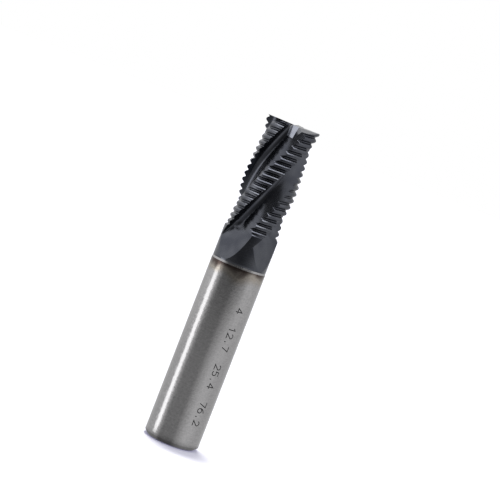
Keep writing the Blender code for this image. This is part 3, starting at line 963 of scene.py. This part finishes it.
def studio_cards(studio, sizes):
    """The cards and lights that the metal mirrors: grey sides, a dark front, one strip."""
    side = studio.side_level
    dark = studio.card_level
    # The two rings nearest the shank are dimmed to 0.35 and 0.5 of their light. This is painted
    # shade of the floor where the tool stands on it, which the shank's chamfer mirrors.
    rings = [(-sizes.shank_chamfer, CARD_LIFT, 0.0, 0.35), (0.002, CARD_LIFT, 0.0, 0.5),
             (0.006, CARD_LIFT, 0.0, 1.0), (CARD_REACH, CARD_LIFT, 0.0, 1.0),
             (CARD_REACH, 0.016, 0.35, 1.0), (CARD_REACH, 0.042, 1.0, 1.0),
             (CARD_REACH, 0.08, 1.0, 1.0)]
    low = [(-180, 0.7), (-100, side), (-66, side), (-54, dark), (2, dark), (6, 1.15 * dark),
           (17, 0.75 * side), (34, side), (47, 1.18 * side), (70, 1.13 * side),
           (100, 0.95 * side), (120, 0.93 * side), (180, 0.7)]
    high = [(-180, 0.65), (-140, 0.8), (-115, 1.1), (-90, 1.2), (-68, 1.1), (-58, 0.5),
            (-46, 0.15), (-8, 0.1), (16, 0.1), (40, 0.25), (54, 0.45), (70, 0.9),
            (90, 0.95), (110, 0.84), (140, 0.7), (180, 0.65)]
    surround_card("side_cards", sizes, rings, low, high)
    rings = [(0.004, STRIP_LIFT, 0.0, 0.6), (0.010, STRIP_LIFT, 0.0, 1.0),
             (STRIP_REACH, STRIP_LIFT, 0.0, 1.0), (STRIP_REACH, 0.034, 0.0, 1.0),
             (STRIP_REACH, 0.040, 0.0, 0.4)]
    strip = [(-91, studio.strip_level), (-72, studio.strip_level)]
    surround_card("strip_light", sizes, rings, strip, strip)
    rings = [(CARD_REACH, 0.08, 0.0, 1.0), (CARD_REACH, 0.16, 0.0, 1.0)]
    brow = [(-180, 0.45), (-150, 1.2), (-133, 1.5), (-110, 1.4), (-62, 1.3), (-50, 0.12),
            (4, 0.12), (14, 0.7), (40, 0.95), (86, 1.15), (130, 0.8), (180, 0.45)]
    surround_card("brow_cards", sizes, rings, brow, brow)
    glowing_card("top_light", level_corners(*TOP_LIGHT), [(0, 1, 2, 3)], [studio.top_level] * 4)


# The paper sends back this share of the light, and has a faint light of its own besides.
PAPER_SHARE = 0.6
PAPER_GLOW = "#C0BDFF"
PAPER_GLOW_LEVEL = 0.2
FLOOR_REACH = 2.0


def studio_floor(studio):
    """A white floor, with a little blue light of its own for what the camera and metal see."""
    floor = mesh_object("floor", level_corners(-FLOOR_REACH, FLOOR_REACH, FLOOR_REACH, 0.0),
                        [(0, 1, 2, 3)])
    material = new_material("white paper floor")
    tree = material.node_tree
    rays = add_node(tree, "ShaderNodeLightPath")
    seen = add_node(
        tree, "ShaderNodeMath",
        {0: rays.outputs["Is Camera Ray"], 1: rays.outputs["Is Glossy Ray"]}, operation="ADD")
    seen = add_node(
        tree, "ShaderNodeMath",
        {0: seen, 1: rays.outputs["Is Transmission Ray"]}, operation="ADD", use_clamp=True)
    own = add_node(tree, "ShaderNodeMath", {0: seen, 1: PAPER_GLOW_LEVEL}, operation="MULTIPLY")
    paper = add_node(
        tree, "ShaderNodeBsdfDiffuse",
        {"Color": (*(PAPER_SHARE * value for value in studio.floor), 1.0)})
    glow = add_node(
        tree, "ShaderNodeEmission", {"Color": (*linear(PAPER_GLOW), 1.0), "Strength": own})
    both = add_node(tree, "ShaderNodeAddShader", {0: paper, 1: glow})
    floor.data.materials.append(finish_material(material, both))


def studio_world():
    """Even white light from all round, which is also the backdrop."""
    world = bpy.data.worlds.new("white studio")
    world.use_nodes = True
    background = world.node_tree.nodes["Background"]
    background.inputs["Color"].default_value = (1.0, 1.0, 1.0, 1.0)
    background.inputs["Strength"].default_value = 1.0
    bpy.context.scene.world = world


SUN_DIRECTION = Vector((-0.04, 0.09, 1.0))
SUN_ANGLE = math.radians(5.0)


def studio_sun(studio):
    """A soft light from almost overhead, which only lays a short shadow on the floor."""
    data = bpy.data.lights.new("soft sun", "SUN")
    data.angle = SUN_ANGLE
    data.energy = studio.sun_level
    sun = bpy.data.objects.new("soft_sun", data)
    sun.rotation_euler = SUN_DIRECTION.to_track_quat("Z", "Y").to_euler()
    sun.visible_glossy = False
    bpy.context.scene.collection.objects.link(sun)


# Where the camera is and what it looks at, and its sensor's width in millimetres
CAMERA_PLACE = Vector((0.0, -0.5, 0.091))
CAMERA_AIM = Vector((0.001104, 0.0, 0.046587))
SENSOR_WIDTH = 36.0


def studio_camera(studio):
    """The camera, at the photograph's viewing angle."""
    data = bpy.data.cameras.new("camera")
    data.sensor_width = SENSOR_WIDTH
    data.lens = studio.lens
    camera = bpy.data.objects.new("camera", data)
    look = (CAMERA_AIM - CAMERA_PLACE).to_track_quat("-Z", "Y").to_matrix().to_4x4()
    roll = Matrix.Rotation(studio.roll, 4, "Z")
    camera.matrix_world = Matrix.Translation(CAMERA_PLACE) @ look @ roll
    bpy.context.scene.collection.objects.link(camera)
    bpy.context.scene.camera = camera


class ROUGHING_MILL_OT_cutting_end(bpy.types.Operator):
    """Makes the coated cutting end, with its ridged lands, flutes, end teeth and neck"""

    bl_idname = "roughing_mill.cutting_end"
    bl_label = "Cutting End"

    def execute(self, context):
        shape = ToolShape(context.scene.mill_sizes)
        finish = context.scene.mill_finish
        # Real grinding marks are about 0.01 mm wide. They are drawn 0.2 mm wide, to show.
        across_land = coated_carbide("coated carbide, ridges ground", finish,
                                     (0.002, 0.002, 0.0002))
        along_flute = coated_carbide("coated carbide, flutes ground", finish,
                                     (0.0002, 0.0002, 0.006), shape.twist)
        end_face = coated_carbide("coated carbide, end ground", finish,
                                  (0.0003, 0.0003, 0.0003))
        body = rough_cutting_end(shape)
        body.data.materials.append(across_land)
        body.data.materials.append(along_flute)
        grind_end_teeth(body, shape, end_face)
        mark_ground_edges(body.data, END_FACE)
        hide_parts("end_mill")
        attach(body, "root")
        return {"FINISHED"}


class ROUGHING_MILL_OT_shank(bpy.types.Operator):
    """Makes the bare ground shank, with its end chamfer and the shoulder up to the neck"""

    bl_idname = "roughing_mill.shank"
    bl_label = "Shank"

    def execute(self, context):
        sizes = context.scene.mill_sizes
        shape = ToolShape(sizes)
        shank = shank_object(sizes, shape)
        foot = shape.shoulder_top - sizes.shoulder_length
        shank.data.materials.append(
            ground_carbide("bare carbide, ground round", context.scene.mill_finish, foot))
        flat_ends = [face for face in shank.data.polygons if len(face.vertices) > 4]
        rims = {key for face in flat_ends for key in face.edge_keys}
        for edge in shank.data.edges:
            edge.use_edge_sharp = edge.key in rims
        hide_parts("end_mill")
        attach(shank, "root")
        return {"FINISHED"}


class ROUGHING_MILL_OT_size_marking(bpy.types.Operator):
    """Makes the plain numbers marked down the shank"""

    bl_idname = "roughing_mill.size_marking"
    bl_label = "Size Marking"

    def execute(self, context):
        scene = context.scene
        marking = marking_object(scene.mill_sizes, scene.mill_marking)
        marking.data.materials.append(laser_mark("laser-marked carbide", scene.mill_finish))
        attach(marking, "root")
        return {"FINISHED"}


class ROUGHING_MILL_OT_stage(bpy.types.Operator):
    """Makes the floor, the light and the camera"""

    bl_idname = "roughing_mill.stage"
    bl_label = "Stage"

    def execute(self, context):
        studio = context.scene.mill_studio
        studio_floor(studio)
        studio_world()
        studio_cards(studio, context.scene.mill_sizes)
        studio_sun(studio)
        studio_camera(studio)
        context.scene.view_settings.view_transform = "Standard"
        return {"FINISHED"}


class ROUGHING_MILL_PT_panel(bpy.types.Panel):
    """Lists what makes the end mill"""

    bl_idname = "ROUGHING_MILL_PT_panel"
    bl_label = "Roughing End Mill"
    bl_space_type = "VIEW_3D"
    bl_region_type = "UI"
    bl_category = "End Mill"

    def draw(self, context):
        scene = context.scene
        for title, group, operators in (
                ("Sizes", scene.mill_sizes,
                 (ROUGHING_MILL_OT_cutting_end, ROUGHING_MILL_OT_shank)),
                ("Finish", scene.mill_finish, ()),
                ("Marking", scene.mill_marking, (ROUGHING_MILL_OT_size_marking,)),
                ("Studio", scene.mill_studio, (ROUGHING_MILL_OT_stage,))):
            box = self.layout.box()
            box.label(text=title)
            for name in group.__annotations__:
                box.prop(group, name)
            for operator in operators:
                box.operator(operator.bl_idname)


CLASSES = (
    ToolSizes,
    ToolFinish,
    SizeMarking,
    Studio,
    ROUGHING_MILL_OT_cutting_end,
    ROUGHING_MILL_OT_shank,
    ROUGHING_MILL_OT_size_marking,
    ROUGHING_MILL_OT_stage,
    ROUGHING_MILL_PT_panel,
)


def register():
    for made in CLASSES:
        bpy.utils.register_class(made)
    bpy.types.Scene.mill_sizes = PointerProperty(type=ToolSizes)
    bpy.types.Scene.mill_finish = PointerProperty(type=ToolFinish)
    bpy.types.Scene.mill_marking = PointerProperty(type=SizeMarking)
    bpy.types.Scene.mill_studio = PointerProperty(type=Studio)


def unregister():
    del bpy.types.Scene.mill_sizes
    del bpy.types.Scene.mill_finish
    del bpy.types.Scene.mill_marking
    del bpy.types.Scene.mill_studio
    for made in reversed(CLASSES):
        bpy.utils.unregister_class(made)


def main():
    register()
    bpy.ops.roughing_mill.cutting_end()
    bpy.ops.roughing_mill.shank()
    bpy.ops.roughing_mill.size_marking()
    bpy.ops.roughing_mill.stage()
    bpy.context.view_layer.update()


if __name__ == "__main__":
    main()
